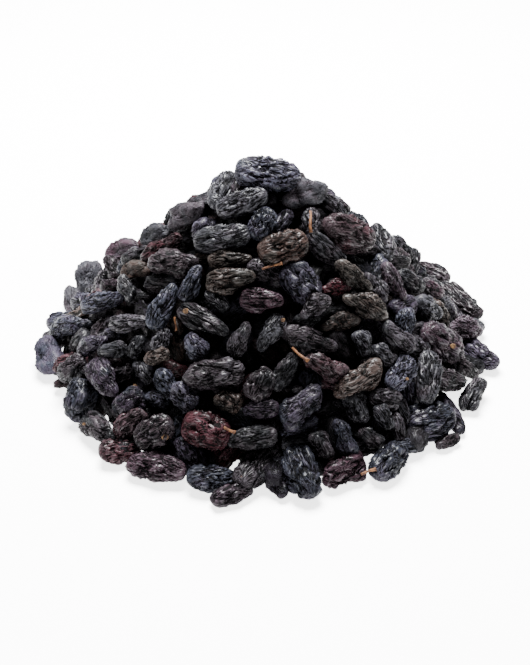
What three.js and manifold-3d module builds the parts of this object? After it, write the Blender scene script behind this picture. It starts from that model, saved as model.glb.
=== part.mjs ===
// Heap of black raisins: a loose cone of dried grapes lying on a flat surface.
// Millimetres, +Z up, the middle of the footprint at the origin, resting on z = 0.
import * as THREE from "three";
import { mergeVertices } from "three/addons/utils/BufferGeometryUtils.js";
import Module from "manifold-3d";

const wasm = await Module();
wasm.setup();

// Shape of the heap, given by where the centres of its outer raisins lie.
const PEAK = 66; // height of that slope on the axis
const FOOT = 70; // radius at which it would reach the table
const SWELL = 1.3; // 1 is a straight cone, 2 a dome
const CORE_DEPTH = 5; // the packed inside lies this far under the centres
const CORE_TURNS = 24;
const CORE_RINGS = 8;

// Raisins: thickness as a share of width, and the ridges along the skin.
const FLATTEN = 0.84;
const RIDGE = 0.05;
const IN_HEAP = { ridges: 5, bands: 3, swell: 1.22, root: 2.4 }; // fused, few flats, long roots
const ALONE = { ridges: 7, bands: 4, swell: 1.08, root: 1 }; // those that are pieces of their own
const CLEARANCE = 0.3; // air left between two pieces
const SINK = 0.15; // a raisin on the table rests on a flat this deep
const SHOWY = 42; // a red, purple or brown raisin this many pixels long is a piece of its own

// Filling in what the photograph doesn't show: how many darts are thrown, the least distance
// between centres, and the depth under the slope. The first rule is the ring on the table.
const FILLING = [
  { ring: true, darts: 300, spacing: 9.4, under: 0 },
  { ring: false, darts: 4000, spacing: 8.2, under: 2.2 },
  { ring: false, darts: 4000, spacing: 8.4, under: 4.4 },
];
const SETTLING = 70; // rounds in which overlapping raisins push each other apart
const SOFTNESS = 0.7; // overlap that soft raisins keep
const TUCK = 1.5; // the ring on the table is drawn this far in under the slope

// Where the photograph was taken from, its frame being 530 x 665 pixels.
const FRAME_MIDDLE = [265, 332.5];
const FOCUS = 1372;
const DISTANCE = 430;
const ELEVATION = (33.5 * Math.PI) / 180;
const LOOKED_AT = new THREE.Vector3(0.3, 0, 7.7);

// Raisins read off the photograph, one after another: middle x and y, length, width, tilt
// in degrees anticlockwise, skin (K grey-black, B blue-black, R red, P purple, N brown), and
// 1 where the raisin lies deeper between its neighbours. The first one is the big one on the top.
const SEEN = `
268,173,62,36,-10,B,0 223,190,38,26,75,K,0 242,203,50,26,15,K,0 200,203,28,20,20,K,1
186,215,42,24,20,K,0 222,238,54,28,10,K,0 262,224,32,27,60,B,0 283,222,24,17,60,B,1
283,248,48,34,15,N,0 241,184,16,12,70,P,1 307,193,44,28,20,K,0 333,207,28,20,-40,K,0
311,222,26,20,90,K,0 350,234,50,38,-15,R,0 383,243,38,21,-75,K,0 326,250,46,13,-38,K,0
365,249,15,13,0,K,1 403,247,30,22,-40,K,0 413,262,26,16,80,K,0 397,262,22,12,0,K,1
433,272,32,22,-30,K,0 411,282,30,22,-25,K,0 430,288,30,16,-20,P,0 460,302,46,26,-45,K,0
463,328,36,24,-10,P,0 428,310,32,28,-30,K,0 405,323,26,22,80,B,0 393,282,40,14,-62,P,0
377,287,34,18,-60,K,0 353,277,44,20,-40,N,0 366,305,46,26,-28,N,0 301,283,44,36,-45,B,0
314,305,32,22,30,K,0 307,321,22,16,0,K,1 340,322,38,18,10,N,1 309,342,56,30,-20,K,0
336,287,10,8,0,R,0 364,344,28,22,-60,K,0 385,355,28,20,-30,K,0 398,338,40,22,-40,K,0
335,268,20,10,0,K,1 90,279,34,30,80,K,0 73,304,32,20,-70,K,0 125,249,45,24,-5,P,0
113,268,16,14,-60,K,1 156,234,34,22,0,K,0 161,248,44,13,30,R,0 136,270,34,20,0,N,0
174,263,46,30,-5,K,0 127,289,26,14,-60,K,0 114,285,16,13,0,P,1 103,302,46,20,15,B,0
130,322,42,20,3,K,0 164,307,48,28,65,B,0 191,283,38,22,65,B,0 138,297,18,11,0,K,1
175,322,20,14,-60,N,1 230,260,42,16,3,N,0 231,279,48,30,8,N,0 196,262,16,12,0,N,1
262,299,42,28,-5,P,0 216,301,24,18,-40,K,0 204,320,54,26,-28,K,0 196,346,28,24,-50,B,0
240,340,38,20,65,K,0 271,332,42,18,55,K,0 68,328,46,26,5,B,0 49,355,40,32,-60,B,0
90,346,34,20,20,B,0 112,350,32,16,10,K,0 112,336,28,14,10,B,1 72,369,34,26,30,K,0
102,376,42,28,-55,B,0 80,399,44,34,70,B,0 97,428,42,26,-30,K,0 129,403,36,28,30,B,0
122,373,20,15,30,K,1 136,347,16,12,60,K,0 144,373,20,14,-50,K,1 161,339,22,20,80,K,0
158,356,22,14,10,N,0 167,385,32,24,-50,B,0 158,400,22,18,-20,B,1 185,398,30,26,-35,B,0
216,374,64,32,3,K,0 226,389,28,12,0,P,1 229,402,28,24,-30,N,0 206,431,46,38,-10,R,0
154,432,40,32,25,K,0 178,433,34,14,85,B,1 130,423,38,24,35,R,0 120,451,40,28,5,R,0
157,467,58,32,-12,P,0 212,477,48,30,0,B,0 232,493,40,22,12,P,0 259,470,52,34,45,K,0
277,484,26,20,-60,B,1 301,473,46,40,-70,B,0 252,438,48,24,8,K,0 261,384,34,28,60,K,0
261,409,34,20,5,B,0 284,372,40,16,60,K,0 288,391,22,16,-20,K,1 303,405,54,30,40,B,0
298,428,40,16,8,B,1 295,442,26,12,5,K,1 325,367,46,22,-28,R,0 332,382,28,12,-15,R,1
357,380,56,28,25,N,0 357,408,36,26,-70,K,0 344,436,40,20,-70,B,0 323,446,32,20,-60,K,0
343,471,48,32,20,P,0 389,461,38,32,50,B,0 370,437,26,18,-40,K,0 366,448,26,14,5,K,1
386,400,32,24,-10,K,0 385,416,22,20,-60,K,0 403,411,26,16,-70,K,0 397,428,28,16,-75,K,0
398,440,14,10,0,K,1 411,447,22,18,0,B,0 431,423,50,42,10,B,0 449,415,42,20,-60,B,1
447,439,22,12,15,K,1 474,395,36,24,55,K,0 451,379,32,26,-15,K,0 467,370,28,14,-32,K,0
478,354,38,25,-32,B,0 427,377,48,26,80,K,0 442,343,46,32,-30,P,0 400,373,34,26,50,B,0
425,330,26,10,0,K,1`;

// Stalks left on raisins: both ends in the photograph and the width, in pixels.
const STALKS_SEEN = `
310,211,311,232,5 292,348,308,361,5 224,427,235,433,5 175,317,176,331,4 361,474,376,469,5
262,269,282,263,4`;

const SKINS = {
  K: "skin_grey",
  B: "skin_blue",
  R: "skin_red",
  P: "skin_purple",
  N: "skin_brown",
};
const LOOKS = {
  skin_grey: { color: 0x2c2a2e, roughness: 0.55 },
  skin_blue: { color: 0x25263a, roughness: 0.5 },
  skin_red: { color: 0x40191f, roughness: 0.5 },
  skin_purple: { color: 0x35232e, roughness: 0.5 },
  skin_brown: { color: 0x33261f, roughness: 0.6 },
  stalk: { color: 0x9a6a35, roughness: 0.7 },
};

const V = (x, y, z) => new THREE.Vector3(x, y, z);
const RIGHT = V(1, 0, 0);
const INTO = V(0, Math.cos(ELEVATION), -Math.sin(ELEVATION));
const UP = V(0, Math.sin(ELEVATION), Math.cos(ELEVATION));
const EYE = LOOKED_AT.clone().addScaledVector(INTO, -DISTANCE);

// Draws between 0 and 1 that come out the same on every run.
function draws(seed) {
  let state = seed;
  return () => (state = (state * 16807) % 2147483647) / 2147483647;
}

// Height of the slope of centres at radius r, and the radius where it is this high.
const slope = (r) => PEAK * (1 - Math.pow(r / FOOT, SWELL));
const edge = (height) => FOOT * Math.pow(1 - height / PEAK, 1 / SWELL);
const radius = (p) => Math.hypot(p.x, p.y);

// Outward direction of the slope; straight up where a raisin lies on the table.
function outward(p, onTable) {
  if (onTable) return V(0, 0, 1);
  const r = Math.max(radius(p), 0.001);
  const fall = ((PEAK * SWELL) / FOOT) * Math.pow(r / FOOT, SWELL - 1);
  return V((fall * p.x) / r, (fall * p.y) / r, 1).normalize();
}

// First point along a pixel's line of sight that passes the test, or the nearest to it.
function alongSight(x, y, airAt) {
  const ray = INTO.clone()
    .addScaledVector(RIGHT, (x - FRAME_MIDDLE[0]) / FOCUS)
    .addScaledVector(UP, (FRAME_MIDDLE[1] - y) / FOCUS);
  let nearest = null;
  let least = Infinity;
  for (let step = 0; step < 800; step++) {
    const p = EYE.clone().addScaledVector(ray, DISTANCE - 90 + step * 0.25);
    const air = airAt(p);
    if (air < least) {
      least = air;
      nearest = p;
    }
    if (air <= 0) break;
  }
  return nearest;
}

// Half the height of a raisin as it lies.
function halfHeight({ a, b, c, size }) {
  return Math.hypot(a.z * size.x, b.z * size.y, c.z * size.z);
}

// Frame of a raisin: a along it, c the way its flatter side faces, b across.
function lay(raisin, along, facing) {
  raisin.home = raisin.at.clone();
  raisin.a = along.clone().normalize();
  raisin.c = facing.clone().addScaledVector(raisin.a, -facing.dot(raisin.a)).normalize();
  raisin.b = raisin.c.clone().cross(raisin.a);
  return raisin;
}

// A raisin of the photograph, laid on the heap so that it shows where it was seen.
function raisinSeen([x, y, length, width, tilt, skin, deep]) {
  const fullLength = Math.max(length, 27, 1.2 * width);
  const fullWidth = Math.max(width, 17, 0.5 * length);
  const half = (0.42 * fullWidth * DISTANCE) / FOCUS;
  const floor = (r) => (r < FOOT + 3 ? half : -Infinity);
  const airAt = (p) => p.z - Math.max(slope(radius(p)), floor(radius(p)));
  const at = alongSight(x, y, airAt);
  at.addScaledVector(outward(at, false), -Math.max(airAt(at) - 0.5, 0) * 0.6);
  const scale = at.clone().sub(EYE).dot(INTO) / FOCUS;
  const hidden = (fullWidth - width) / 2 + (fullLength - length) / 4;
  at.addScaledVector(at.clone().sub(EYE).normalize(), 2.4 * deep + hidden * scale);
  const onTable = at.z < 0.62 * fullWidth * scale;
  const normal = outward(at, onTable);
  const turn = (tilt * Math.PI) / 180;
  const inFrame = RIGHT.clone().multiplyScalar(Math.cos(turn)).addScaledVector(UP, Math.sin(turn));
  const lean = THREE.MathUtils.clamp(-inFrame.dot(normal) / INTO.dot(normal), -0.8, 0.8);
  const along = inFrame.clone().addScaledVector(INTO, lean);
  const facing = normal.clone().addScaledVector(INTO, onTable ? -0.3 : -1);
  const thick = fullWidth * scale * 0.5;
  const size = V(fullLength * scale * 0.5 * along.length(), thick, thick * FLATTEN);
  const showy = !deep && length >= SHOWY && "RPN".includes(skin);
  return lay({ at, size, skin, seen: true, showy, onTable, under: 0 }, along, facing);
}

// A raisin that the photograph doesn't show, this far round and out from the axis.
function raisinGuessed(next, around, out, rule) {
  const half = 3.3 + 0.9 * next();
  const long = 1.3 + 0.45 * next();
  const turn = Math.PI * next();
  const tilt = 0.9 * (next() - 0.5);
  const shade = next();
  const r = rule.ring ? edge(half * FLATTEN) : out;
  const at = V(r * Math.cos(around), r * Math.sin(around), half * FLATTEN);
  if (!rule.ring) {
    at.z = slope(r);
    at.addScaledVector(outward(at, false), -rule.under);
  }
  const normal = outward(at, rule.ring);
  const level = V(-Math.sin(around), Math.cos(around), 0);
  const rise = normal.clone().cross(level);
  const along = level.multiplyScalar(Math.cos(turn)).addScaledVector(rise, Math.sin(turn));
  along.addScaledVector(normal, rule.ring ? 0 : tilt);
  const skin = shade < 0.5 ? "K" : shade < 0.8 ? "B" : shade < 0.92 ? "R" : "N";
  const size = V(half * long, half, half * FLATTEN);
  const { under, ring } = rule;
  const raisin = lay({ at, size, skin, seen: false, onTable: ring, under }, along, normal);
  raisin.at.z = Math.max(raisin.at.z, halfHeight(raisin));
  return raisin;
}

// Raisins of the sides, the back and the gaps: darts, kept where there is room. The ring on
// the table is filled at the back alone, since the photograph shows its front.
function fillIn(raisins) {
  const next = draws(4127);
  for (const rule of FILLING)
    for (let dart = 0; dart < rule.darts; dart++) {
      const around = (rule.ring ? 1 : 2) * Math.PI * next();
      const raisin = raisinGuessed(next, around, FOOT * 0.95 * Math.sqrt(next()), rule);
      const room = raisins.every((other) => other.at.distanceTo(raisin.at) >= rule.spacing);
      if (room) raisins.push(raisin);
    }
}

// How far two raisins, each taken as three balls in a row, push one another.
function pushBetween(one, two) {
  const ball = (raisin) => 0.5 * (raisin.size.y + raisin.size.z);
  const reach = ball(one) + ball(two) - SOFTNESS;
  const push = V(0, 0, 0);
  if (one.at.distanceTo(two.at) > one.size.x + two.size.x) return push;
  for (const s of [-1, 0, 1])
    for (const t of [-1, 0, 1]) {
      const gap = one.at.clone().addScaledVector(one.a, s * (one.size.x - ball(one)));
      gap.sub(two.at).addScaledVector(two.a, -t * (two.size.x - ball(two)));
      const apart = gap.length();
      if (apart < reach && apart > 1e-6) push.addScaledVector(gap, (0.2 * (reach - apart)) / apart);
    }
  return push;
}

// One step of a raisin: one that was seen moves along the line of sight and hardly across
// it, any other is drawn back to its depth under the slope, or to the ring on the table.
function step(raisin, push) {
  const low = halfHeight(raisin);
  if (raisin.seen) {
    const sight = raisin.home.clone().sub(EYE).normalize();
    const back = raisin.home.clone().sub(raisin.at);
    back.addScaledVector(sight, -back.dot(sight));
    const depth = push.dot(sight);
    raisin.at.addScaledVector(push, 0.25).addScaledVector(sight, 0.45 * depth);
    raisin.at.addScaledVector(back, 0.15);
    const normal = outward(raisin.at, false);
    const air = (raisin.at.z - slope(radius(raisin.at))) * normal.z;
    const facesEye = !raisin.onTable && normal.dot(sight) < -0.2;
    if (facesEye) raisin.at.addScaledVector(sight, 0.3 * Math.max(air - 0.5, 0));
  } else {
    raisin.at.add(push);
    const r = radius(raisin.at);
    const normal = outward(raisin.at, false);
    if (raisin.onTable) {
      const pull = (0.3 * (r - edge(low) + TUCK)) / r;
      raisin.at.add(V(-pull * raisin.at.x, -pull * raisin.at.y, 0));
    } else {
      const air = (raisin.at.z - slope(r)) * normal.z + raisin.under;
      raisin.at.addScaledVector(normal, -0.25 * air);
    }
  }
  if (raisin.onTable || raisin.at.z < low) raisin.at.z = low;
}

function settle(raisins) {
  for (let round = 0; round < SETTLING; round++) {
    const pushes = raisins.map(() => V(0, 0, 0));
    raisins.forEach((one, i) => {
      for (let j = i + 1; j < raisins.length; j++) {
        const push = pushBetween(one, raisins[j]);
        pushes[i].add(push);
        pushes[j].sub(push);
      }
    });
    raisins.forEach((raisin, i) => step(raisin, pushes[i].clampLength(0, 1)));
  }
}

function placeRaisins() {
  const raisins = SEEN.trim()
    .split(/\s+/)
    .map((entry) => raisinSeen(entry.split(",").map((v) => (isNaN(v) ? v : Number(v)))));
  raisins[0].top = true;
  fillIn(raisins);
  settle(raisins);
  raisins.forEach((raisin, i) => (raisin.seed = 977 * (i + 3)));
  return raisins;
}

// Geometry with its seams closed, so that each corner is there once.
function closed(geometry) {
  geometry.deleteAttribute("normal");
  geometry.deleteAttribute("uv");
  const merged = mergeVertices(geometry, 1e-5);
  const corners = merged.index.array;
  const kept = [];
  for (let i = 0; i < corners.length; i += 3) {
    const [p, q, r] = corners.slice(i, i + 3);
    if (p !== q && q !== r && r !== p) kept.push(p, q, r);
  }
  merged.setIndex(kept);
  return merged;
}

// Body with the skin of a closed geometry, ready to be joined and cut.
function solid(geometry) {
  const vertProperties = new Float32Array(geometry.attributes.position.array);
  const triVerts = new Uint32Array(geometry.index.array);
  return new wasm.Manifold(new wasm.Mesh({ numProp: 3, vertProperties, triVerts }));
}

// One raisin: a ball drawn out along it, with ridges running from end to end. A root makes
// its hidden side that many times as deep, so that it reaches what it is fused to.
function raisinSolid(raisin, { ridges, bands, swell, root }, extra = 0) {
  const { at, a, b, c, size, seed } = raisin;
  const next = draws(seed);
  const skin = closed(new THREE.SphereGeometry(1, ridges, bands));
  const points = skin.attributes.position;
  for (let i = 0; i < points.count; i++) {
    const end = points.getY(i);
    const out = Math.pow(Math.hypot(points.getX(i), points.getZ(i)), 0.85);
    const band = Math.round((Math.acos(THREE.MathUtils.clamp(end, -1, 1)) / Math.PI) * bands);
    const ridge = (Math.atan2(points.getX(i), points.getZ(i)) * ridges) / (2 * Math.PI);
    const turn = (2 * Math.PI * (ridge + 0.25 * (band % 2))) / ridges;
    const fold = swell + (Math.round(ridge) % 2 ? RIDGE : -RIDGE) + 0.08 * (next() - 0.5);
    const p = at.clone().addScaledVector(a, end * (size.x + extra));
    p.addScaledVector(b, fold * out * Math.cos(turn) * (size.y + extra));
    const deeper = Math.sin(turn) < -0.1 ? root : 1;
    p.addScaledVector(c, deeper * fold * out * Math.sin(turn) * (size.z + extra));
    points.setXYZ(i, p.x, p.y, p.z - (raisin.onTable ? SINK : 0));
  }
  return solid(skin);
}

// The packed inside of the heap, under the outer raisins and flat on the table.
function coreSolid() {
  const rim = edge(CORE_DEPTH) - 1.3 * CORE_DEPTH;
  const profile = [new THREE.Vector2(0, 0), new THREE.Vector2(rim, 0)];
  for (let ring = 1; ring <= CORE_RINGS; ring++) {
    const r = rim * (1 - (ring - 0.5) / (CORE_RINGS + 0.5));
    profile.push(new THREE.Vector2(r, slope(r + 0.7 * CORE_DEPTH) - 0.7 * CORE_DEPTH));
  }
  profile.push(new THREE.Vector2(0, PEAK - 1.6 * CORE_DEPTH));
  return solid(closed(new THREE.LatheGeometry(profile, CORE_TURNS).rotateX(Math.PI / 2)));
}

// A stalk lying on the raisins that its two ends were seen on.
function stalkSolid([x1, y1, x2, y2, width], raisins, extra = 0) {
  const inside = (p) => (raisin) => {
    const d = p.clone().sub(raisin.at);
    const { a, b, c, size } = raisin;
    return Math.hypot(d.dot(a) / size.x, d.dot(b) / size.y, d.dot(c) / size.z) < 1;
  };
  const sunk = (p) => p.z < slope(radius(p)) - 2 * CORE_DEPTH;
  const hit = (p) => (raisins.some(inside(p)) || sunk(p) ? 0 : 1);
  const [from, to] = [[x1, y1], [x2, y2]].map(([x, y]) => alongSight(x, y, hit));
  const along = to.clone().sub(from);
  const half = (0.5 * width * DISTANCE) / FOCUS + extra;
  const long = along.length() + 2 * extra;
  const outline = [[0, 0], [0.8, 0.06], [0.65, 0.5], [1, 0.94], [0, 1]];
  const profile = outline.map(([share, place]) => new THREE.Vector2(half * share, long * place));
  const side = along.clone().cross(INTO).normalize();
  along.normalize();
  const turn = new THREE.Matrix4().makeBasis(side, along, side.clone().cross(along));
  turn.setPosition(from.addScaledVector(along, -extra));
  return solid(closed(new THREE.LatheGeometry(profile, 6).applyMatrix4(turn)));
}

// The largest body of a shape, leaving out crumbs that a cut set loose.
const largest = (shape) => shape.decompose().sort((p, q) => q.volume() - p.volume())[0];

function meshOf(shape, name, look, middle) {
  const { vertProperties, triVerts } = shape.getMesh();
  const geometry = new THREE.BufferGeometry();
  geometry.setAttribute("position", new THREE.BufferAttribute(vertProperties, 3));
  geometry.setIndex(new THREE.BufferAttribute(triVerts, 1));
  geometry.translate(-middle.x, -middle.y, 0);
  const mesh = new THREE.Mesh(geometry, new THREE.MeshStandardMaterial(LOOKS[look]));
  mesh.material.name = look;
  mesh.name = name;
  return mesh;
}

// Pieces of their own: the top raisin, showy ones, those on the table, and the stalks.
function separatePieces(raisins) {
  const count = {};
  const numbered = (kind) => {
    count[kind] = (count[kind] || 0) + 1;
    return kind + "_" + String(count[kind]).padStart(2, "0");
  };
  const nameOf = (raisin) => {
    if (raisin.top) return "top_raisin";
    if (raisin.onTable) return numbered("foot_raisin");
    return numbered(SKINS[raisin.skin].replace("skin_", "") + "_raisin");
  };
  const seen = raisins.filter((raisin) => raisin.seen);
  const stalks = STALKS_SEEN.trim()
    .split(/\s+/)
    .map((entry) => entry.split(",").map(Number))
    .map((ends) => ({
      name: numbered("stalk"),
      look: "stalk",
      shape: stalkSolid(ends, seen),
      hole: stalkSolid(ends, seen, CLEARANCE),
    }));
  const alone = raisins
    .filter((raisin) => raisin.top || raisin.showy || raisin.onTable)
    .map((raisin) => ({
      name: nameOf(raisin),
      look: SKINS[raisin.skin],
      shape: raisinSolid(raisin, ALONE),
      hole: raisinSolid(raisin, ALONE, CLEARANCE),
    }));
  return [...stalks, ...alone];
}

function build() {
  const raisins = placeRaisins();
  const inHeap = raisins.filter((raisin) => !(raisin.top || raisin.showy || raisin.onTable));
  const table = solid(closed(new THREE.BoxGeometry(400, 400, 40).translate(0, 0, -20)));
  let heap = coreSolid();
  for (const raisin of inHeap) heap = heap.add(raisinSolid(raisin, IN_HEAP));
  heap = heap.subtract(table);
  const pieces = separatePieces(raisins);
  pieces.forEach((piece, i) => {
    piece.shape = piece.shape.subtract(table);
    pieces.slice(0, i).forEach((other) => (piece.shape = piece.shape.subtract(other.hole)));
    piece.shape = largest(piece.shape);
    heap = heap.subtract(piece.hole);
  });
  pieces.unshift({ name: "heap", look: "skin_grey", shape: largest(heap) });
  const low = V(Infinity, Infinity, 0);
  const high = V(-Infinity, -Infinity, 0);
  for (const piece of pieces) {
    const box = piece.shape.boundingBox();
    low.min(V(box.min[0], box.min[1], 0));
    high.max(V(box.max[0], box.max[1], 0));
  }
  const middle = low.add(high).multiplyScalar(0.5);
  const group = new THREE.Group();
  for (const piece of pieces) group.add(meshOf(piece.shape, piece.name, piece.look, middle));
  return group;
}

export default build();
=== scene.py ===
# Heap of black raisins: the wrinkled fruit that shows on the outside of the heap, laid by the
# same rule as in the part's source, with the second layer that shows through the gaps.
import math
import bpy
import numpy as np
from mathutils import Matrix, Vector, noise


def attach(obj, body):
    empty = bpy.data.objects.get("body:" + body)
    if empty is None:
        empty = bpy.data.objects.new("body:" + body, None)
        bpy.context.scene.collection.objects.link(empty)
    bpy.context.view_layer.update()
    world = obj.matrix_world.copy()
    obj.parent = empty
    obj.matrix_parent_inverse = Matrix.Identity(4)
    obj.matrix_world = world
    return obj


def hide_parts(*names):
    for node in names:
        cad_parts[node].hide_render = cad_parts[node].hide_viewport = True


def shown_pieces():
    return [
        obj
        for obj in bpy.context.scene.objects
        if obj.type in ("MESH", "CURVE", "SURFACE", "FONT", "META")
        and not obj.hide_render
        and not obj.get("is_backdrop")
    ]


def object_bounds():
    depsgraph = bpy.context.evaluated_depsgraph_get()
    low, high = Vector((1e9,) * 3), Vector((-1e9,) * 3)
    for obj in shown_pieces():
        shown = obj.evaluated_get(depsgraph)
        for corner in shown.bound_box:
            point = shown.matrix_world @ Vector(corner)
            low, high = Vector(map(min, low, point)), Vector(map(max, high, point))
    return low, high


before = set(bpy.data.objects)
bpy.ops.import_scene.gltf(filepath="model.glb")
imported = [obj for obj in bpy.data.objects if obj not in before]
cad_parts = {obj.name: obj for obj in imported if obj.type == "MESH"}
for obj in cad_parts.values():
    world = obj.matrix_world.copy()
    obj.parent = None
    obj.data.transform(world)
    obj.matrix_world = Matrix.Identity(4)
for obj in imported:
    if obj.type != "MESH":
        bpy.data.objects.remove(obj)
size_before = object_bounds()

MM = 0.001

# Shape of the heap, in millimetres: where the centres of its outer raisins lie.
PEAK, FOOT, SWELL = 66.0, 70.0, 1.3
# Height of a raisin as a share of its width, and how much larger its skin is than its size.
FLATTEN, PLUMP = 0.84, 1.08
# Darts that fill the heap: on the table or not, how many, spacing and depth under the slope.
FILLING = ((True, 300, 9.4, 0.0), (False, 4000, 8.2, 2.2), (False, 4000, 8.4, 4.4))
# Layers behind: depth under the slope, darts and spacing.
INNER_LAYERS = ((6.4, 3500, 7.6), (11.0, 1800, 9.0))
# Layer on the table: darts, spacing, distance to the raisins that show, and their height.
FLOOR_DARTS, FLOOR_SPACING, FLOOR_CLEARANCE, FLOOR_HEIGHT = 3000, 7.4, 5.2, 9
# Rounds of pushing apart, how deep raisins press into each other, and how far the ring on
# the table is drawn in.
SETTLING, INNER_SETTLING, SOFTNESS, TUCK = 70, 30, 0.7, 1.5
# A push in each round, and how a seen raisin gives sideways, gives in depth and goes home.
PUSH, SIDE_GIVE, DEPTH_GIVE, HOMING = 0.2, 0.25, 0.45, 0.15
# Slope raisins that are a piece of their own are at least this long, in pixels.
SHOWY = 42
# Least length and width of a whole raisin in pixels, where others hide part of it, and how
# far back a deeper one lies, in millimetres.
LEAST_LENGTH, LEAST_WIDTH, DEEPER = 27, 17, 2.4
# How far inside the slope the dark core stays.
CORE_INSET = 14
# How far behind the middle the back of the heap begins.
BACK = 18
# Painted shade on the skins: they are painted brightest this far to the side, over this rise from
# this height, or this far back;
# then how bright they are painted in the middle of the front, where deeper or behind, and inside.
BRIGHT_SIDE, BRIGHT_HEIGHT, BRIGHT_RISE, BRIGHT_BACK = 62, 25, 38, 40
FRONT_LIGHT, SHADED_LIGHT, INNER_LIGHT = 0.65, 0.7, 0.35
SLOTS = {"K": "skin_grey", "B": "skin_blue", "R": "skin_red", "P": "skin_purple",
         "N": "skin_brown"}

# Where the photograph was taken from, its frame being 530 x 665 pixels.
FRAME_MIDDLE = (265, 332.5)
FRAME_HEIGHT = 665
FOCUS, DISTANCE = 1372, 430
SENSOR = 24
# A line of sight is walked in small steps from this far in front of the heap's middle.
SIGHT_LEAD, SIGHT_STEP, SIGHT_STEPS = 90, 0.25, 800
ELEVATION = math.radians(33.5)
LOOKED_AT = np.array([0.3, 0.0, 7.7])
RIGHT = np.array([1.0, 0.0, 0.0])
INTO = np.array([0.0, math.cos(ELEVATION), -math.sin(ELEVATION)])
UP = np.array([0.0, math.sin(ELEVATION), math.cos(ELEVATION)])
EYE = LOOKED_AT - DISTANCE * INTO

# Raisins read off the photograph: middle x and y, length, width, tilt in degrees
# anticlockwise, skin (K grey-black, B blue-black, R red, P purple, N brown), 1 where deeper.
SEEN = """
268,173,62,36,-10,B,0 223,190,38,26,75,K,0 242,203,50,26,15,K,0 200,203,28,20,20,K,1
186,215,42,24,20,K,0 222,238,54,28,10,K,0 262,224,32,27,60,B,0 283,222,24,17,60,B,1
283,248,48,34,15,N,0 241,184,16,12,70,P,1 307,193,44,28,20,K,0 333,207,28,20,-40,K,0
311,222,26,20,90,K,0 350,234,50,38,-15,R,0 383,243,38,21,-75,K,0 326,250,46,13,-38,K,0
365,249,15,13,0,K,1 403,247,30,22,-40,K,0 413,262,26,16,80,K,0 397,262,22,12,0,K,1
433,272,32,22,-30,K,0 411,282,30,22,-25,K,0 430,288,30,16,-20,P,0 460,302,46,26,-45,K,0
463,328,36,24,-10,P,0 428,310,32,28,-30,K,0 405,323,26,22,80,B,0 393,282,40,14,-62,P,0
377,287,34,18,-60,K,0 353,277,44,20,-40,N,0 366,305,46,26,-28,N,0 301,283,44,36,-45,B,0
314,305,32,22,30,K,0 307,321,22,16,0,K,1 340,322,38,18,10,N,1 309,342,56,30,-20,K,0
336,287,10,8,0,R,0 364,344,28,22,-60,K,0 385,355,28,20,-30,K,0 398,338,40,22,-40,K,0
335,268,20,10,0,K,1 90,279,34,30,80,K,0 73,304,32,20,-70,K,0 125,249,45,24,-5,P,0
113,268,16,14,-60,K,1 156,234,34,22,0,K,0 161,248,44,13,30,R,0 136,270,34,20,0,N,0
174,263,46,30,-5,K,0 127,289,26,14,-60,K,0 114,285,16,13,0,P,1 103,302,46,20,15,B,0
130,322,42,20,3,K,0 164,307,48,28,65,B,0 191,283,38,22,65,B,0 138,297,18,11,0,K,1
175,322,20,14,-60,N,1 230,260,42,16,3,N,0 231,279,48,30,8,N,0 196,262,16,12,0,N,1
262,299,42,28,-5,P,0 216,301,24,18,-40,K,0 204,320,54,26,-28,K,0 196,346,28,24,-50,B,0
240,340,38,20,65,K,0 271,332,42,18,55,K,0 68,328,46,26,5,B,0 49,355,40,32,-60,B,0
90,346,34,20,20,B,0 112,350,32,16,10,K,0 112,336,28,14,10,B,1 72,369,34,26,30,K,0
102,376,42,28,-55,B,0 80,399,44,34,70,B,0 97,428,42,26,-30,K,0 129,403,36,28,30,B,0
122,373,20,15,30,K,1 136,347,16,12,60,K,0 144,373,20,14,-50,K,1 161,339,22,20,80,K,0
158,356,22,14,10,N,0 167,385,32,24,-50,B,0 158,400,22,18,-20,B,1 185,398,30,26,-35,B,0
216,374,64,32,3,K,0 226,389,28,12,0,P,1 229,402,28,24,-30,N,0 206,431,46,38,-10,R,0
154,432,40,32,25,K,0 178,433,34,14,85,B,1 130,423,38,24,35,R,0 120,451,40,28,5,R,0
157,467,58,32,-12,P,0 212,477,48,30,0,B,0 232,493,40,22,12,P,0 259,470,52,34,45,K,0
277,484,26,20,-60,B,1 301,473,46,40,-70,B,0 252,438,48,24,8,K,0 261,384,34,28,60,K,0
261,409,34,20,5,B,0 284,372,40,16,60,K,0 288,391,22,16,-20,K,1 303,405,54,30,40,B,0
298,428,40,16,8,B,1 295,442,26,12,5,K,1 325,367,46,22,-28,R,0 332,382,28,12,-15,R,1
357,380,56,28,25,N,0 357,408,36,26,-70,K,0 344,436,40,20,-70,B,0 323,446,32,20,-60,K,0
343,471,48,32,20,P,0 389,461,38,32,50,B,0 370,437,26,18,-40,K,0 366,448,26,14,5,K,1
386,400,32,24,-10,K,0 385,416,22,20,-60,K,0 403,411,26,16,-70,K,0 397,428,28,16,-75,K,0
398,440,14,10,0,K,1 411,447,22,18,0,B,0 431,423,50,42,10,B,0 449,415,42,20,-60,B,1
447,439,22,12,15,K,1 474,395,36,24,55,K,0 451,379,32,26,-15,K,0 467,370,28,14,-32,K,0
478,354,38,25,-32,B,0 427,377,48,26,80,K,0 442,343,46,32,-30,P,0 400,373,34,26,50,B,0
425,330,26,10,0,K,1
"""

# Those of them, by their middle, whose skin is smoother and dustier than the rest, and so takes
# more painted sheen.
PALE_SEEN = "307,193 186,215 156,234 90,279 73,304 125,249 136,270 49,355 200,203"
# And those that are still full and round.
ROUND_SEEN = "268,173 206,431 301,473 389,461 431,423 283,248 301,283 350,234 154,432"

# Gaps at the foot where raisins farther in show, as places in the photograph.
FOOT_GAPS = "133,440 172,453 321,459 277,470"
# Stalks left on raisins: both ends in the photograph and the width, in pixels.
STALKS_SEEN = """
310,211,311,232,5 292,348,308,361,5 224,427,235,433,5 175,317,176,331,4 361,474,376,469,5
262,269,282,263,4
"""
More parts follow.
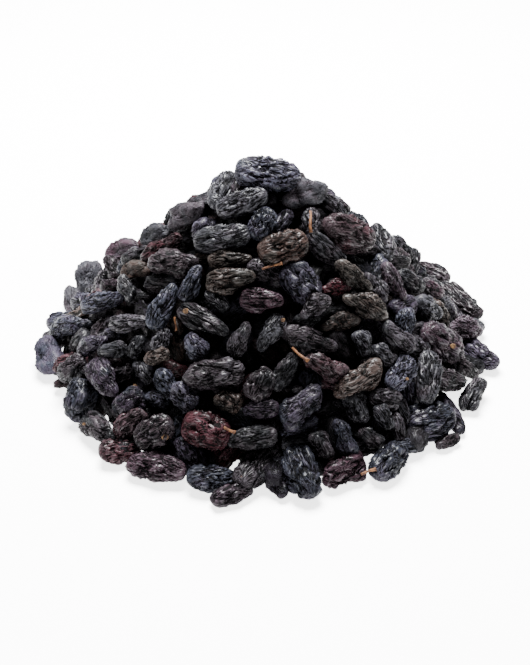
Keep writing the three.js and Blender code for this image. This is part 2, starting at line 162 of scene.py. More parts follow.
# Pale scars where a stalk came off: middle in the photograph and diameter, in pixels.
SCARS_SEEN = """
165,437,8 407,379,4 84,424,4 186,311,7 283,320,5 453,346,7 135,386,5 243,478,6
"""


def draws(seed):
    """Draws between 0 and 1 that come out the same on every run."""
    while True:
        seed = seed * 16807 % 2147483647
        yield seed / 2147483647


def unit(v):
    return v / np.linalg.norm(v)


def slope(r):
    return PEAK * (1 - (r / FOOT) ** SWELL)


def edge(height):
    return FOOT * (1 - height / PEAK) ** (1 / SWELL)


def radius(p):
    return math.hypot(p[0], p[1])


def outward(p, on_table):
    """Outward direction of the slope; straight up where a raisin lies on the table."""
    if on_table:
        return np.array([0.0, 0.0, 1.0])
    r = max(radius(p), 0.001)
    fall = PEAK * SWELL / FOOT * (r / FOOT) ** (SWELL - 1)
    return unit(np.array([fall * p[0] / r, fall * p[1] / r, 1.0]))


def along_sight(x, y, air_at):
    """First point of a pixel's line of sight with no air, or the one with the least."""
    ray = INTO + RIGHT * (x - FRAME_MIDDLE[0]) / FOCUS + UP * (FRAME_MIDDLE[1] - y) / FOCUS
    least, nearest = math.inf, None
    for stride in range(SIGHT_STEPS):
        p = EYE + ray * (DISTANCE - SIGHT_LEAD + stride * SIGHT_STEP)
        air = air_at(p)
        if air < least:
            least, nearest = air, p
        if air <= 0:
            break
    return nearest


def lay(raisin, along, facing):
    """Frame of a raisin: a along it, c the way its flatter side faces, b across."""
    raisin["home"] = raisin["at"].copy()
    a = raisin["a"] = unit(along)
    raisin["c"] = unit(facing - a * facing.dot(a))
    raisin["b"] = np.cross(raisin["c"], a)
    sizes = raisin["size"]
    raisin["low"] = math.sqrt(sum((raisin[k][2] * s) ** 2 for k, s in zip("abc", sizes)))
    return raisin


def raisin_seen(entry):
    x, y, length, width, tilt = (float(v) for v in entry[:5])
    skin, deep = entry[5], int(entry[6])
    full_length = max(length, LEAST_LENGTH, 1.2 * width)
    full_width = max(width, LEAST_WIDTH, 0.5 * length)
    half = 0.42 * full_width * DISTANCE / FOCUS

    def air_at(p):
        r = radius(p)
        return p[2] - max(slope(r), half if r < FOOT + 3 else -math.inf)

    at = along_sight(x, y, air_at)
    at = at - outward(at, False) * max(air_at(at) - 0.5, 0) * 0.6
    scale = (at - EYE).dot(INTO) / FOCUS
    hidden = (full_width - width) / 2 + (full_length - length) / 4
    at = at + unit(at - EYE) * (DEEPER * deep + hidden * scale)
    on_table = at[2] < 0.62 * full_width * scale
    normal = outward(at, on_table)
    turn = math.radians(tilt)
    in_frame = RIGHT * math.cos(turn) + UP * math.sin(turn)
    lean = min(max(-in_frame.dot(normal) / INTO.dot(normal), -0.8), 0.8)
    along = in_frame + INTO * lean
    facing = normal + INTO * (-0.3 if on_table else -1.0)
    thick = full_width * scale * 0.5
    size = (full_length * scale * 0.5 * np.linalg.norm(along), thick, thick * FLATTEN)
    showy = not deep and length >= SHOWY and skin in "RPN"
    middle = ",".join(entry[:2])
    made = dict(at=at, size=size, skin=skin, seen=True, deep=deep, showy=showy,
                pale=middle in PALE_SEEN.split(), full=middle in ROUND_SEEN.split())
    return lay(dict(made, table=on_table, under=0.0), along, facing)


def raisin_guessed(draw, around, out, ring, under):
    half = 3.3 + 0.9 * next(draw)
    long = 1.3 + 0.45 * next(draw)
    turn = math.pi * next(draw)
    tilt = 0.9 * (next(draw) - 0.5)
    shade = next(draw)
    r = edge(half * FLATTEN) if ring else out
    at = np.array([r * math.cos(around), r * math.sin(around), half * FLATTEN])
    if not ring:
        at[2] = slope(r)
        at = at - under * outward(at, False)
    normal = outward(at, ring)
    level = np.array([-math.sin(around), math.cos(around), 0.0])
    rise = np.cross(normal, level)
    along = level * math.cos(turn) + rise * math.sin(turn) + normal * (0 if ring else tilt)
    skin = "K" if shade < 0.5 else "B" if shade < 0.8 else "R" if shade < 0.92 else "N"
    size = (half * long, half, half * FLATTEN)
    made = dict(at=at, size=size, skin=skin, seen=False, deep=0, showy=False,
                pale=False, full=False)
    raisin = lay(dict(made, table=ring, under=under), along, normal)
    raisin["at"][2] = max(raisin["at"][2], raisin["low"])
    return raisin


def fill_in(raisins):
    """Raisins of the sides, the back and the gaps, thrown like darts and kept where there
    is room. The ring on the table is filled at the back alone."""
    draw = draws(4127)
    places = [q["at"] for q in raisins]
    for ring, darts, spacing, under in FILLING:
        for _ in range(darts):
            around = (1 if ring else 2) * math.pi * next(draw)
            out = FOOT * 0.95 * math.sqrt(next(draw))
            raisin = raisin_guessed(draw, around, out, ring, under)
            gaps = np.linalg.norm(np.array(places) - raisin["at"], axis=1)
            if gaps.min() >= spacing:
                raisins.append(raisin)
                places.append(raisin["at"])


def pushes_between(at, along, sizes):
    """How far raisins, each taken as three balls in a row, push one another apart."""
    ball = 0.5 * (sizes[:, 1] + sizes[:, 2])
    arm = sizes[:, 0] - ball
    apart = np.linalg.norm(at[:, None] - at[None], axis=2)
    near = apart <= sizes[:, 0][:, None] + sizes[:, 0][None]
    one, two = np.nonzero(np.triu(near, 1))
    reach = ball[one] + ball[two] - SOFTNESS
    push = np.zeros_like(at)
    for s in (-1, 0, 1):
        for t in (-1, 0, 1):
            gap = at[one] + along[one] * (s * arm[one])[:, None]
            gap = gap - (at[two] + along[two] * (t * arm[two])[:, None])
            far = np.linalg.norm(gap, axis=1)
            hit = (far < reach) & (far > 1e-6)
            move = gap[hit] * (PUSH * (reach - far) / far)[hit][:, None]
            np.add.at(push, one[hit], move)
            np.add.at(push, two[hit], -move)
    return push


def step(raisin, at, push):
    """A raisin that was seen moves along the line of sight, any other keeps its depth."""
    low = raisin["low"]
    if raisin["seen"]:
        sight = unit(raisin["home"] - EYE)
        back = raisin["home"] - at
        back = back - sight * back.dot(sight)
        at = at + push * SIDE_GIVE + sight * DEPTH_GIVE * push.dot(sight) + back * HOMING
        normal = outward(at, False)
        air = (at[2] - slope(radius(at))) * normal[2]
        if not raisin["table"] and normal.dot(sight) < -0.2:
            at = at + sight * 0.3 * max(air - 0.5, 0)
    else:
        at = at + push
        r = radius(at)
        normal = outward(at, False)
        if raisin["table"]:
            pull = 0.3 * (r - edge(low) + TUCK) / r
            at = at - np.array([pull * at[0], pull * at[1], 0.0])
        else:
            at = at - normal * 0.25 * ((at[2] - slope(r)) * normal[2] + raisin["under"])
    if raisin["table"] or at[2] < low:
        at[2] = low
    return at


def settle(raisins, fixed=(), rounds=SETTLING):
    """Raisins push each other apart; the fixed ones push and stay where they are."""
    everyone = list(fixed) + list(raisins)
    at = np.array([q["at"] for q in everyone])
    along = np.array([q["a"] for q in everyone])
    sizes = np.array([q["size"] for q in everyone])
    for _ in range(rounds):
        push = pushes_between(at, along, sizes)
        for i in range(len(fixed), len(everyone)):
            far = np.linalg.norm(push[i])
            at[i] = step(everyone[i], at[i], push[i] / max(far, 1))
    for i, raisin in enumerate(everyone):
        raisin["at"] = at[i]


def colour(skin):
    return SLOTS[skin].removeprefix("skin_")


def place_raisins():
    raisins = [raisin_seen(entry.split(",")) for entry in SEEN.split()]
    fill_in(raisins)
    settle(raisins)
    for i, raisin in enumerate(raisins):
        raisin["kind"] = "heap"
        if i == 0:
            raisin["kind"] = "top_raisin"
        elif raisin["table"]:
            raisin["kind"] = "foot_raisin"
        elif raisin["showy"]:
            raisin["kind"] = colour(raisin["skin"]) + "_raisin"
    return raisins


def inner_raisins(outer):
    """The second layer, seen through the gaps, and a deeper one behind it."""
    draw = draws(90217)
    layer = [raisin_guessed(draw, 0.6, 6.5, False, 3.5)]
    for under, darts, spacing in INNER_LAYERS:
        places = []
        for _ in range(darts):
            around = 2 * math.pi * next(draw)
            out = FOOT * 0.9 * math.sqrt(next(draw))
            raisin = raisin_guessed(draw, around, out, False, under)
            if raisin["at"][2] < 3 or (places and np.linalg.norm(
                    np.array(places) - raisin["at"], axis=1).min() < spacing):
                continue
            layer.append(raisin)
            places.append(raisin["at"])
    settle(layer, outer, INNER_SETTLING)
    return layer


def floor_raisins(outer):
    """Raisins lying on the table under the heap, which only show from below."""
    draw = draws(5501)
    others = np.array([q["at"] for q in outer if q["at"][2] < FLOOR_HEIGHT])
    layer, places = [], [np.array([0.0, 0.0, -99.0])]
    for entry in FOOT_GAPS.split():
        x, y = (float(v) for v in entry.split(","))
        raisin = raisin_guessed(draw, 0.0, 0.0, True, 0.0)
        raisin["at"] = along_sight(x, y, lambda p: p[2] - raisin["low"])
        layer.append(raisin)
    for _ in range(FLOOR_DARTS):
        around = 2 * math.pi * next(draw)
        out = (FOOT - 7) * math.sqrt(next(draw))
        raisin = raisin_guessed(draw, around, out, True, 0.0)
        raisin["at"] = np.array([out * math.cos(around), out * math.sin(around), raisin["low"]])
        if (np.linalg.norm(np.array(places) - raisin["at"], axis=1).min() < FLOOR_SPACING
                or np.linalg.norm(others - raisin["at"], axis=1).min() < FLOOR_CLEARANCE):
            continue
        layer.append(raisin)
        places.append(raisin["at"])
    return layer


# Modelling. One raisin is modelled a few times over with the operators, then copied.
BODY = (6.0, 4.2, 3.5)  # half sizes of a modelled raisin, mm
MODELS, SMOOTH_MODELS, COARSE_MODELS = 10, 3, 4
SMOOTH_DEPTH = 0.45  # of the folds of a smooth raisin, as a share
FINE, MEDIUM, ROUGH, COARSE = (66, 40), (38, 22), (22, 13), (14, 8)


def nothing_selected():
    bpy.ops.object.select_all(action="DESELECT")


def push_skin(piece, name, amount, middle, group, coords=None, size=1.0):
    """Raise and sink the skin: by a cloudy pattern of this size in mm, or by a painted group."""
    modifier = piece.modifiers.new(name, "DISPLACE")
    if coords:
        modifier.texture = bpy.data.textures.new(name, "CLOUDS")
        modifier.texture.noise_scale = size
        modifier.texture_coords = "OBJECT"
        modifier.texture_coords_object = coords
    modifier.vertex_group = group
    modifier.mid_level = middle
    modifier.strength = amount * MM
    bpy.ops.object.modifier_apply(modifier=name)


def round_off(piece, fullness, taper):
    """Blunt the two ends of a ball, one more than the other, and mark how far each point
    is from them."""
    sides = piece.vertex_groups.new(name="sides")
    for vertex in piece.data.vertices:
        out = math.hypot(vertex.co.y, vertex.co.z)
        if out > 1e-6:
            vertex.co.y *= out ** fullness / out * (1 + taper * vertex.co.x)
            vertex.co.z *= out ** fullness / out * (1 + taper * vertex.co.x)
        sides.add([vertex.index], max(1 - abs(vertex.co.x) ** 7, 0.15), "REPLACE")


def crumple(piece, number, amount):
    """Push a ball out of shape by up to this amount in mm, each one its own way."""
    for vertex in piece.data.vertices:
        place = vertex.co / MM * 0.18
        pushes = [noise.noise(place + Vector((number * 17.3, 5.7 * way, 9))) for way in range(3)]
        vertex.co += Vector(pushes) * amount * MM


def paint_ridges(piece, number, count, wander):
    """Paint ridges that run from end to end, waver, split and close on themselves."""
    ridges = piece.vertex_groups.new(name="ridges")
    heights = []
    for vertex in piece.data.vertices:
        x, y, z = vertex.co / MM
        turn = math.atan2(z / BODY[2], y / BODY[1]) / (2 * math.pi)
        start = Vector((number * 31.7, 0, 0))
        phase = count * turn + wander * noise.noise(Vector((x * 0.09, y * 0.3, z * 0.3)) + start)
        phase += 0.65 * noise.noise(Vector((x * 0.25, y * 0.6, z * 0.6)) + start)
        ridge = 1 - abs(math.sin(math.pi * phase)) ** 0.8
        calm = 0.75 + 0.5 * noise.noise(Vector((x, y, z)) * 0.35 + start)
        near_end = max(1 - abs(x / BODY[0]) ** 6, 0.1)
        waist = noise.noise(Vector((x * 0.1, y * 0.24, z * 0.24)) + start * 3)
        pinch = math.exp(-(waist / 0.04) ** 2) * near_end
        heights.append(min(max(1 - (1 - ridge) * calm * near_end, 0), 1) * (1 - 0.6 * pinch))
        ridges.add([vertex.index], heights[-1], "REPLACE")
    return np.array(heights)


def skin_heights(mesh):
    """How far each point of the skin stands out of its surroundings, 0 to 1."""
    count = len(mesh.vertices)
    points = np.empty(count * 3)
    normals = np.empty(count * 3)
    mesh.vertices.foreach_get("co", points)
    mesh.vertex_normals.foreach_get("vector", normals)
    points, normals = points.reshape(-1, 3), normals.reshape(-1, 3)
    pairs = np.empty(len(mesh.edges) * 2, dtype=int)
    mesh.edges.foreach_get("vertices", pairs)
    pairs = pairs.reshape(-1, 2)
    degree = np.bincount(pairs.ravel(), minlength=count)[:, None]
    smooth = points.copy()
    for _ in range(12):
        total = np.zeros_like(smooth)
        np.add.at(total, pairs[:, 0], smooth[pairs[:, 1]])
        np.add.at(total, pairs[:, 1], smooth[pairs[:, 0]])
        smooth = total / degree
    height = ((points - smooth) * normals).sum(axis=1)
    height = (height - height.mean()) / height.std()
    return np.clip(0.5 + 0.25 * height, 0, 1), points / MM


def model_raisin(number, turns, rings, depth=1.0):
    """A wrinkled raisin along X, shrunk in folds that mostly run from end to end.
    The first two are the roundest."""
    draw = draws(313 + 71 * number)
    nothing_selected()
    bpy.ops.mesh.primitive_uv_sphere_add(segments=turns, ring_count=rings, radius=1)
    piece = bpy.context.object
    piece.data.transform(Matrix.Rotation(math.pi / 2, 4, "Y"))
    round_off(piece, 0.7 + 0.4 * next(draw), 0.3 * next(draw))
    piece.data.transform(Matrix.Diagonal([v * MM for v in BODY] + [1]))
    crumple(piece, number, 1.1 + 1.8 * next(draw) if number > 1 else 0.4)
    heights = paint_ridges(piece, number, 11 + int(5 * next(draw)), 1.5 + 3 * next(draw))
    bpy.ops.object.empty_add(location=(number * 0.031, number * 0.017, number * 0.023))
    coords = bpy.context.object
    coords.scale = (1.2 * MM, MM, MM)
    bpy.context.view_layer.update()
    nothing_selected()
    bpy.context.view_layer.objects.active = piece
    piece.select_set(True)
    push_skin(piece, "dents", 3.2, 0.5, "sides", coords, size=4.5)
    push_skin(piece, "ridges", (1.2 + 0.5 * next(draw)) * depth, 0, "ridges")
    push_skin(piece, "creases", 0.25, 0.5, "sides", coords, size=0.9)
    bpy.ops.object.shade_smooth()
    piece.vertex_groups.clear()
    fold, rest = skin_heights(piece.data)
    fold = 0.5 * fold + 0.5 * (1 - (1 - heights) * depth)
    piece.data.attributes.new("fold", "FLOAT", "POINT").data.foreach_set("value", fold)
    span = np.abs(rest).max(axis=0)
    mesh = piece.data
    bpy.data.objects.remove(coords)
    bpy.data.objects.remove(piece)
    return mesh, rest, span


def copy_raisin(raisin, models, name):
    """One raisin of the heap as a mesh of its own, from one of the modelled ones."""
    draw = draws(raisin["seed"])
    chosen = int(next(draw) * len(models))
    mesh, rest, span = models[chosen % 2 if raisin["full"] else chosen]
    mesh = mesh.copy()
    flips = [1, 1, 1]
    turned = next(draw)
    if turned < 0.5:
        flips = [-1, -1, 1]
    elif turned < 0.75:
        flips = [-1, 1, -1]
    axes = np.eye(4)
    for column, (key, size, turn) in enumerate(zip("abc", raisin["size"], flips)):
        axes[:3, column] = raisin[key] * size * turn / span[column] * PLUMP
    axes[:3, 3] = raisin["at"] * MM
    mesh.transform(Matrix(axes.tolist()))
    offset = np.array([next(draw), next(draw), next(draw)]) * 90
    stretch = np.array(raisin["size"]) / span
    own = mesh.attributes.new("rest", "FLOAT_VECTOR", "POINT")
    own.data.foreach_set("vector", (rest * stretch + offset).ravel())
    # The alpha carries the painted shade of the raisin's place in the heap.
    tint = [next(draw), next(draw), next(draw), raisin["light"]]
    if raisin["pale"]:
        tint[:2] = 1.0, 0.15
    tint = np.tile(tint, (len(mesh.vertices), 1))
    mesh.attributes.new("tint", "FLOAT_COLOR", "POINT").data.foreach_set("color", tint.ravel())
    piece = bpy.data.objects.new(name, mesh)
    bpy.context.collection.objects.link(piece)
    return piece


def joined(pieces, name):
    nothing_selected()
    for piece in pieces:
        piece.select_set(True)
    bpy.context.view_layer.objects.active = pieces[0]
    if len(pieces) > 1:
        bpy.ops.object.join()
    pieces[0].name = name
    return pieces[0]


# Materials.
class Value:
    """A shader socket that ordinary arithmetic works on."""

    def __init__(self, tree, socket):
        self.tree, self.socket = tree, socket

    def node(self, kind, inputs, output=0, **settings):
        made = self.tree.nodes.new(kind)
        for key, setting in settings.items():
            setattr(made, key, setting)
        for key, value in inputs.items():
            if isinstance(value, Value):
                self.tree.links.new(value.socket, made.inputs[key])
            else:
                made.inputs[key].default_value = value
        return Value(self.tree, made.outputs[output])

    def maths(self, operation, other=0.0):
        return self.node("ShaderNodeMath", {0: self, 1: other}, operation=operation)

    def __add__(self, other):
        return self.maths("ADD", other)

    def __sub__(self, other):
        return self.maths("SUBTRACT", other)

    def __mul__(self, other):
        return self.maths("MULTIPLY", other)

    def __radd__(self, other):
        return self + other

    def __rsub__(self, other):
        return self.node("ShaderNodeMath", {0: other, 1: self}, operation="SUBTRACT")

    def __rmul__(self, other):
        return self * other

    def between(self, low, high):
        """0 up to the low value, 1 from the high one, smooth in between."""
        inputs = {"Value": self, "From Min": low, "From Max": high}
        return self.node("ShaderNodeMapRange", inputs, interpolation_type="SMOOTHSTEP")

    def mix(self, first, second):
        """The first colour where this is 0, the second where it is 1."""
        inputs = {0: self, 6: first, 7: second}
        return self.node("ShaderNodeMix", inputs, output=2, data_type="RGBA")


def attribute(tree, name, output):
    made = tree.nodes.new("ShaderNodeAttribute")
    made.attribute_name = name
    return Value(tree, made.outputs[output])


def rgb(r, g, b):
    return (r, g, b, 1.0)


def new_material(name):
    material = bpy.data.materials.new(name)
    material.use_nodes = True
    return material, material.node_tree, material.node_tree.nodes["Principled BSDF"]


def skin_material(name, furrow_shade, ridge, bloom_and_sheen, blush):
    """Skin with painted shade that blackens its furrows, and pale dust with painted sheen on what
    stands out; the whole skin is darkened by the painted shade of the raisin's place in the heap,
    and the coat dimmed with it. The dustiest raisins, with the most painted sheen, are the pale
    ones, flatter and duller than the rest."""
    material, tree, shader = new_material(name)
    rest = attribute(tree, "rest", "Vector")
    fold = attribute(tree, "fold", "Fac")
    tint = attribute(tree, "tint", "Color")
    # Painted shade of each raisin, from its place in the heap, carried in the tint's alpha.
    light = attribute(tree, "tint", "Alpha")
    dusty = tint.node("ShaderNodeSeparateColor", {0: tint})
    bright = Value(tree, dusty.socket.node.outputs[1])
    flush = Value(tree, dusty.socket.node.outputs[2])

    def pattern(scale, detail, stretch=1.0, **settings):
        along = rest.node("ShaderNodeMapping", {"Vector": rest, "Scale": (stretch, 1, 1)})
        inputs = {"Vector": along, "Scale": scale, "Detail": detail, "Distortion": 0.5}
        return rest.node("ShaderNodeTexNoise", inputs, **settings)

    lines = pattern(0.3, 4, 0.3) * 13
    lines = lines.node("ShaderNodeMath", {0: lines, 1: 0.5}, operation="PINGPONG") * 2
    pale = dusty.between(0.93, 1.0)
    plain = 0.38 * pale
    crease = lines.between(0.15, 0.95)
    crease = 1 - (1 - crease) * (1 - plain)
    patch = pattern(0.2, 2)
    grain = pattern(3.4, 3)
    relief = fold * 0.62 + crease * 0.38
    raised = relief.between(0.28, 0.64)
    # Dust and painted sheen: pale patches, kept to what stands out.
    dust_and_sheen = (patch * 1.3 + dusty * 0.4 - 0.35).between(0.15, 0.75) * relief.between(0.32, 0.68)
    # Painted shade in the furrows: what stands out takes the ridge colour, the rest the near-black
    # furrow shade; the red patches keep the same painted shade.
    base = raised.mix(furrow_shade, ridge)
    red = (patch * 1.1 + flush * 0.35).between(0.55, 0.85)
    base = red.mix(base, raised.mix(furrow_shade, blush))
    # Pale dust with painted sheen on what stands out.
    base = (dust_and_sheen * (bright * 0.62 + 0.36) * grain.between(0.2, 0.6)).mix(base, bloom_and_sheen)
    # Painted shade: the whole skin is darkened towards black by the raisin's painted brightness.
    base = light.mix(rgb(0, 0, 0), base)
    tree.links.new(base.socket, shader.inputs["Base Color"])
    rough = 0.42 + 0.25 * dust_and_sheen + 0.2 * grain
    tree.links.new(rough.socket, shader.inputs["Roughness"])
    # The coat is dimmed by the same painted shade where a raisin's brightness is painted lower.
    shine = relief.between(0.45, 0.85) * light * (0.34 - 0.26 * pale)
    tree.links.new(shine.socket, shader.inputs["Coat Weight"])
    bump = rest.node("ShaderNodeBump", {"Strength": 1.0, "Distance": 0.55 * MM,
                     "Height": crease + grain * 0.3})
    tree.links.new(bump.socket, shader.inputs["Normal"])
    shader.inputs["Specular IOR Level"].default_value = 0.03
    shader.inputs["Coat Roughness"].default_value = 0.36
    return material


def skin_materials():
    # Colours of each skin: the painted shade of its furrows, its ridges, its dust with painted
    # sheen, and its red patches.
    return {
        "K": skin_material("skin_grey", rgb(0.0006, 0.0006, 0.0008), rgb(0.0102, 0.0103, 0.0122),
                           rgb(0.0510, 0.0505, 0.0600), rgb(0.0185, 0.0115, 0.0140)),
        "B": skin_material("skin_blue", rgb(0.0006, 0.0006, 0.0010), rgb(0.0098, 0.0107, 0.0158),
                           rgb(0.0460, 0.0495, 0.0690), rgb(0.0175, 0.0095, 0.0165)),
        "R": skin_material("skin_red", rgb(0.0012, 0.0005, 0.0006), rgb(0.0150, 0.0078, 0.0096),
                           rgb(0.0480, 0.0350, 0.0410), rgb(0.0330, 0.0031, 0.0062)),
        "P": skin_material("skin_purple", rgb(0.0008, 0.0006, 0.0008), rgb(0.0128, 0.0090, 0.0124),
                           rgb(0.0540, 0.0455, 0.0560), rgb(0.0225, 0.0070, 0.0125)),
        "N": skin_material("skin_brown", rgb(0.0008, 0.0006, 0.0005), rgb(0.0143, 0.0114, 0.0098),
                           rgb(0.0495, 0.0440, 0.0405), rgb(0.0225, 0.0098, 0.0074)),
    }


def stalk_material(name, light, dark):
    material, tree, shader = new_material(name)
    place = tree.nodes.new("ShaderNodeTexCoord")
    place = Value(tree, place.outputs["Object"])
    streak = place.node("ShaderNodeTexNoise", {"Vector": place, "Scale": 900, "Detail": 3})
    tree.links.new(streak.between(0.35, 0.7).mix(dark, light).socket,
                   shader.inputs["Base Color"])
    shader.inputs["Roughness"].default_value = 0.75
    shader.inputs["Specular IOR Level"].default_value = 0.15
    return material


def floor_material():
    material, _, shader = new_material("table")
    shader.inputs["Base Color"].default_value = rgb(0.96, 0.96, 0.96)
    shader.inputs["Emission Color"].default_value = rgb(1, 1, 1)
    shader.inputs["Emission Strength"].default_value = 3.2
    shader.inputs["Roughness"].default_value = 0.8
    return material


def add_piece(piece, material, replaced=()):
    piece.data.materials.clear()
    piece.data.materials.append(material)
    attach(piece, "root")
    if replaced:
        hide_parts(*replaced)


def sector(raisin):
    """Which part of the heap a raisin is in, seen from the camera."""
    x, y = raisin["at"][:2]
    if y > BACK:
        return "back"
    return "left" if x < 0 else "right"


def painted_shade_on(raisin):
    """Painted shade of a raisin's skin, as a brightness: the ones in the middle of the front are
    painted the blackest, lighter towards the sides, the top and the back, and the deeper ones and
    the guessed ones at the back, where the lamp shines straight on them, are painted darker."""
    x, y, z = raisin["at"]
    outside = max(abs(x) / BRIGHT_SIDE, (z - BRIGHT_HEIGHT) / BRIGHT_RISE, y / BRIGHT_BACK, 0)
    shaded = raisin["deep"] or (y > BACK and not raisin["seen"])
    light = FRONT_LIGHT + (1 - FRONT_LIGHT) * min(outside, 1)
    return light * (SHADED_LIGHT if shaded else 1.0)


def dress_heap():
    outer = place_raisins()
    inner = inner_raisins(outer)
    under = floor_raisins(outer)
    for i, raisin in enumerate(outer + inner + under):
        raisin["seed"] = 977 * (i + 3)
        # Painted shade: each raisin's brightness from its place, with the inner and table layers
        # painted darker still.
        raisin["light"] = painted_shade_on(raisin) * (INNER_LIGHT if i >= len(outer) else 1.0)
    fine = [model_raisin(k, *FINE) for k in range(MODELS)]
    medium = [model_raisin(k, *MEDIUM) for k in range(MODELS)]
    smooth = [model_raisin(MODELS + k, *FINE, SMOOTH_DEPTH) for k in range(SMOOTH_MODELS)]
    rough = [model_raisin(k, *ROUGH) for k in range(MODELS)]
    coarse = [model_raisin(k, *COARSE) for k in range(COARSE_MODELS)]
    skins = skin_materials()
    groups = {}
    count = {}
    for raisin in outer:
        models = fine if raisin["seen"] and not raisin["deep"] else medium
        piece = copy_raisin(raisin, smooth if raisin["pale"] else models, "raisin")
        kind = raisin["kind"]
        if kind == "heap":
            groups.setdefault((sector(raisin), raisin["skin"]), []).append(piece)
            continue
        name = kind
        if kind != "top_raisin":
            count[kind] = count.get(kind, 0) + 1
            name = "%s_%02d" % (kind, count[kind])
        piece.name = name + "_skin"
        add_piece(piece, skins[raisin["skin"]], [name])
    for layer, models, word in ((inner, rough, "inner"), (under, coarse, "under")):
        for raisin in layer:
            piece = copy_raisin(raisin, models, "raisin")
            groups.setdefault((word, raisin["skin"]), []).append(piece)
    for (where, skin), pieces in sorted(groups.items(), key=lambda item: item[0]):
        piece = joined(pieces, "heap_%s_%s" % (where, colour(skin)))
        add_piece(piece, skins[skin], ["heap"])
    return outer


def surface_seen(x, y, raisins, under=0.0):
    """Point of the raisins' skin that a pixel shows, with the way from it to the camera."""
    places = np.array([q["at"] for q in raisins])
    frames = np.array([[q[k] / s / PLUMP for k, s in zip("abc", q["size"])] for q in raisins])

    def air_at(p):
        near = np.linalg.norm(np.einsum("nij,nj->ni", frames, p - places), axis=1).min() < 1
        return 0 if near or p[2] < slope(radius(p)) - 4.2 else 1

    p = along_sight(x, y, air_at)
    return p + unit(EYE - p) * (0.5 - under), unit(EYE - p)


def add_stalk(number, entry, raisins, material):
    """A dry stalk lying on the fruit: a thin rod that swells to a collar at one end."""
    x1, y1, x2, y2, width = entry
    start, facing = surface_seen(x1, y1, raisins)
    end, _ = surface_seen(x2, y2, raisins)
    middle, _ = surface_seen((x1 + x2) / 2, (y1 + y2) / 2, raisins)
    half = 0.38 * width * DISTANCE / FOCUS * MM
    way = Vector((end - start) * MM)
    lift = Vector(middle - (start + end) / 2) * MM
    lift = lift if lift.dot(Vector(facing)) > 0 else Vector((0, 0, 0))
    nothing_selected()
    bpy.ops.mesh.primitive_cylinder_add(vertices=14, radius=half, depth=way.length)
    piece = bpy.context.object
    bpy.ops.object.mode_set(mode="EDIT")
    bpy.ops.mesh.subdivide(number_cuts=7)
    bpy.ops.object.mode_set(mode="OBJECT")
    turn = way.to_track_quat("Z", "Y").to_matrix()
    for vertex in piece.data.vertices:
        share = vertex.co.z / way.length + 0.5
        thin = 0.55 + 0.45 * share ** 4 + 0.15 * (1 - share) ** 4
        across = Vector((vertex.co.x * thin + 0.3 * half * math.sin(5 * share + number),
                         vertex.co.y * thin, vertex.co.z))
        bow = lift * (1 - (2 * share - 1) ** 2)
        vertex.co = turn @ across + bow + Vector((start + end) / 2 * MM)
    nothing_selected()
    piece.select_set(True)
    bpy.ops.object.shade_smooth()
    piece.name = "stalk_%02d_wood" % number
    add_piece(piece, material, ["stalk_%02d" % number])


def add_scars(raisins, material):
    """Small pale rims where a stalk came off, with a dimple in the middle."""
    scars = []
    for entry in SCARS_SEEN.split():
        x, y, wide = (float(v) for v in entry.split(","))
        place, facing = surface_seen(x, y, raisins, 0.25)
        half = 0.42 * wide * DISTANCE / FOCUS * MM
        nothing_selected()
        bpy.ops.mesh.primitive_uv_sphere_add(segments=14, ring_count=8, radius=half)
        scar = bpy.context.object
        for vertex in scar.data.vertices:
            out = math.hypot(vertex.co.x, vertex.co.y) / half
            rim = 0.4 * min(0.2 + out ** 2, 1)
            vertex.co.z *= rim if vertex.co.z > 0 else 0.25
            vertex.co.y *= 0.8
        turn = Vector(facing).to_track_quat("Z", "Y").to_matrix().to_4x4()
        scar.data.transform(Matrix.Translation(Vector(place * MM)) @ turn)
        bpy.ops.object.shade_smooth()
        scars.append(scar)
    add_piece(joined(scars, "stalk_scars"), material)


def add_core(material):
    """The inside of the heap, behind the layers that show, uneven as packed fruit is, in a
    near-black skin: painted shade deep in the heap.
    """
    nothing_selected()
    bpy.ops.mesh.primitive_cone_add(vertices=40, depth=(PEAK - CORE_INSET) * MM,
                                    radius1=(FOOT - CORE_INSET) * MM, radius2=2 * MM)
    piece = bpy.context.object
    bpy.ops.object.mode_set(mode="EDIT")
    bpy.ops.mesh.subdivide(number_cuts=7)
    bpy.ops.object.mode_set(mode="OBJECT")
    for vertex in piece.data.vertices:
        swell = 1 + 0.06 * noise.noise(vertex.co / MM * 0.15)
        vertex.co.x *= swell
        vertex.co.y *= swell
    piece.data.transform(Matrix.Translation((0, 0, (0.5 * (PEAK - CORE_INSET) + 2) * MM)))
    piece.name = "heap_inside"
    add_piece(piece, material, ["heap"])


def corners(piece):
    points = np.empty(len(piece.data.vertices) * 3)
    piece.data.vertices.foreach_get("co", points)
    points = points.reshape(-1, 3)
    return points.min(axis=0), points.max(axis=0)


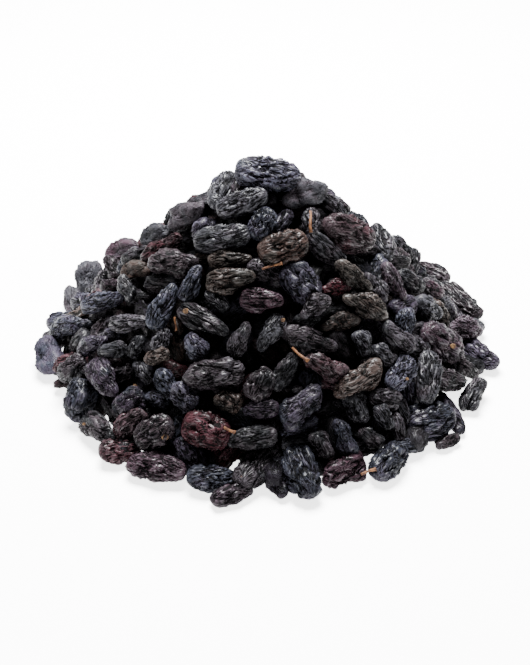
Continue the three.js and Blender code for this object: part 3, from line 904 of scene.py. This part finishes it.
def centre(pieces, low, high):
    """Bring the middle of the footprint to the origin, and nudge what still reaches past
    the part's own box back into it; returns how far all was moved."""
    boxes = np.array([corners(piece) for piece in pieces])
    move = -(boxes[:, 0].min(axis=0) + boxes[:, 1].max(axis=0)) / 2
    move[2] = 0
    for piece, (start, end) in zip(pieces, boxes + move):
        nudge = np.maximum(low - start, 0) + np.minimum(high - end, 0)
        piece.data.transform(Matrix.Translation(move + nudge))
    return move


def area_light(name, size, power, place, aim):
    light = bpy.data.lights.new(name, "AREA")
    light.shape, light.size, light.energy = "DISK", size, power
    lamp = bpy.data.objects.new(name, light)
    bpy.context.collection.objects.link(lamp)
    lamp.location = place
    lamp.rotation_euler = (Vector(aim) - Vector(place)).to_track_quat("-Z", "Y").to_euler()


def studio(move):
    nothing_selected()
    bpy.ops.mesh.primitive_plane_add(size=30)
    floor = bpy.context.object
    floor.name = "table"
    floor.data.materials.append(floor_material())
    floor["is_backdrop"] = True
    world = bpy.data.worlds.new("studio")
    bpy.context.scene.world = world
    world.use_nodes = True
    sky = world.node_tree.nodes["Background"]
    sky.inputs["Color"].default_value = rgb(1, 1, 1)
    sky.inputs["Strength"].default_value = 0.6
    area_light("above", size=0.4, power=47, place=(-0.02, 0.22, 0.55), aim=(0, 0, 0.03))
    camera = bpy.data.cameras.new("camera")
    camera.sensor_fit, camera.sensor_height = "VERTICAL", SENSOR
    camera.lens = FOCUS / FRAME_HEIGHT * SENSOR
    eye = bpy.data.objects.new("camera", camera)
    bpy.context.collection.objects.link(eye)
    eye.location = Vector(EYE * MM) + Vector(move)
    eye.rotation_euler = Vector(INTO).to_track_quat("-Z", "Y").to_euler()
    bpy.context.scene.camera = eye


outer = dress_heap()
wood = stalk_material("stalk", rgb(0.105, 0.047, 0.02), rgb(0.03, 0.012, 0.006))
for number, entry in enumerate(STALKS_SEEN.split(), 1):
    add_stalk(number, [float(v) for v in entry.split(",")], outer, wood)
add_scars(outer, stalk_material("scar", rgb(0.095, 0.054, 0.024), rgb(0.022, 0.011, 0.006)))
# Painted shade inside the heap: a near-black skin without the raisins' bloom.
add_core(skin_material("inside", rgb(0.004, 0.004, 0.004), rgb(0.01, 0.01, 0.01),
                       rgb(0.01, 0.01, 0.01), rgb(0.01, 0.01, 0.01)))
studio(centre(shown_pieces(), *(np.array(v) for v in size_before)))
